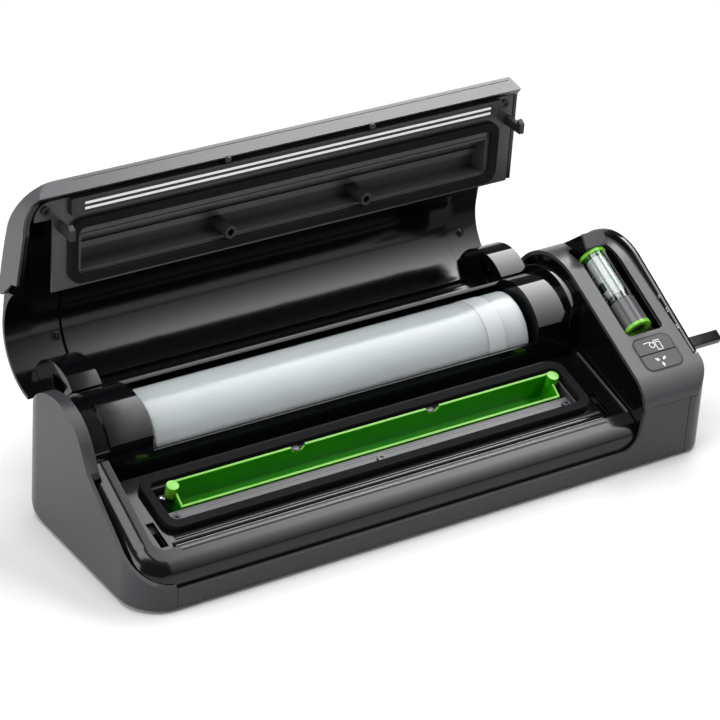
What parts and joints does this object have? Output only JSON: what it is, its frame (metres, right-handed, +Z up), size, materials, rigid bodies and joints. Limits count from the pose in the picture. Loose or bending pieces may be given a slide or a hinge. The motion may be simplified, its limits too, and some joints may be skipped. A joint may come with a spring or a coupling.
{
  "type": "vacuum sealer",
  "caption": "Countertop vacuum sealer with a hinged lid, gasketed vacuum channel with drip tray, bag roll bay and a control tower with docked hand nozzle.",
  "frame": {"origin": "centre of the overall box at the level of the feet's lower faces", "axes": "+X to the right seen from the front (towards the control tower), +Y to the rear, +Z up; front face towards -Y"},
  "size_m": [0.455, 0.1914, 0.2099],
  "materials": {
    "gray_plastic": "fine satin moulded texture",
    "black_gloss": "polished",
    "black_matte": "plain moulded",
    "light_gray": "satin",
    "green_plastic": "polished",
    "foam_rubber": "matt foam",
    "silicone": "smooth",
    "film": "clear film wound on itself",
    "card": "plain card",
    "white_plastic": "smooth",
    "clear_plastic": "clear",
    "steel": "plain",
    "board": "laminate"
  },
  "bodies": {
    "base": {"base_plate": "black_matte", "left_end_cover": "gray_plastic", "front_skirt": "gray_plastic", "deck_moulding": "black_gloss", "vacuum_channel": "gray_plastic", "lower_gasket": "foam_rubber", "drip_tray": "green_plastic", "seal_pad": "silicone", "channel_screws": "steel", "roll_bay": "black_gloss", "left_cheek": "black_gloss", "right_cheek": "black_gloss", "right_bulkhead": "black_gloss", "rear_panel": "black_matte", "hinge_ears": "black_matte", "hinge_pins": "steel", "tower_wall": "black_gloss", "tower_fascia": "gray_plastic", "right_side_cover": "gray_plastic", "dock_tray": "black_gloss", "control_board": "board", "rim_trim": "black_gloss", "vacuum_pump": "black_matte", "pump_motor": "steel", "power_board": "board", "transformer": "black_matte", "rubber_feet": "foam_rubber", "base_screws": "steel", "cord_gland": "black_matte"},
    "lid": {"lid_front_band": "light_gray", "lid_shell": "black_gloss", "lid_liner": "black_gloss", "lid_panel": "black_gloss", "lid_trough": "gray_plastic", "upper_gasket": "foam_rubber", "lid_posts": "black_matte", "heat_carrier": "black_matte", "heat_strips": "steel", "left_latch_hook": "black_matte", "right_latch_hook": "black_matte", "lid_screws": "steel", "left_hinge_arm": "black_gloss", "right_hinge_arm": "black_gloss"},
    "roll": {"bag_roll_film": "film", "bag_roll_core": "card", "bag_roll_band": "white_plastic"},
    "lever": {"lever_shaft": "steel", "latch_lever": "black_gloss"},
    "latch": {"latch_bar": "black_matte", "left_catch": "black_matte", "right_catch": "black_matte"},
    "mode_button": {"mode_key": "gray_plastic"},
    "start_button": {"start_key": "gray_plastic"},
    "nozzle": {"nozzle_front_ring": "green_plastic", "nozzle_body": "gray_plastic", "nozzle_reservoir": "clear_plastic", "nozzle_straw": "white_plastic", "nozzle_back_ring": "green_plastic", "nozzle_tail": "black_gloss", "nozzle_tail_cap": "light_gray"}
  },
  "joints": [
    {"name": "lid_hinge", "type": "hinge", "parent": "base", "child": "lid", "pos_m": [0, 0.05147, 0.0653], "axis": [1, 0, 0], "range_deg": [0, 106]},
    {"name": "roll_spin", "type": "hinge", "parent": "base", "child": "roll", "pos_m": [-0.0309, 0.01027, 0.06], "axis": [1, 0, 0], "continuous": true},
    {"name": "lever_turn", "type": "hinge", "parent": "base", "child": "lever", "pos_m": [0.1937, -0.04423, 0.0224], "axis": [1, 0, 0], "range_deg": [-56, 0]},
    {"name": "latch_slide", "type": "slide", "parent": "base", "child": "latch", "axis": [0, 0.9613, 0.2756], "range_m": [0, 0.0034]},
    {"name": "mode_press", "type": "slide", "parent": "base", "child": "mode_button", "axis": [0, 0.454, -0.891], "range_m": [0, 0.0012], "stiffness_N_per_m": 600},
    {"name": "start_press", "type": "slide", "parent": "base", "child": "start_button", "axis": [0, 0.454, -0.891], "range_m": [0, 0.0012], "stiffness_N_per_m": 600},
    {"name": "nozzle_lift", "type": "slide", "parent": "base", "child": "nozzle", "axis": [0, -0.454, 0.891], "range_m": [0, 0.04]}
  ],
  "couplings": [
    {"joint": "latch_slide", "follows": "lever_turn", "m_per_rad": -0.0034777}
  ]
}
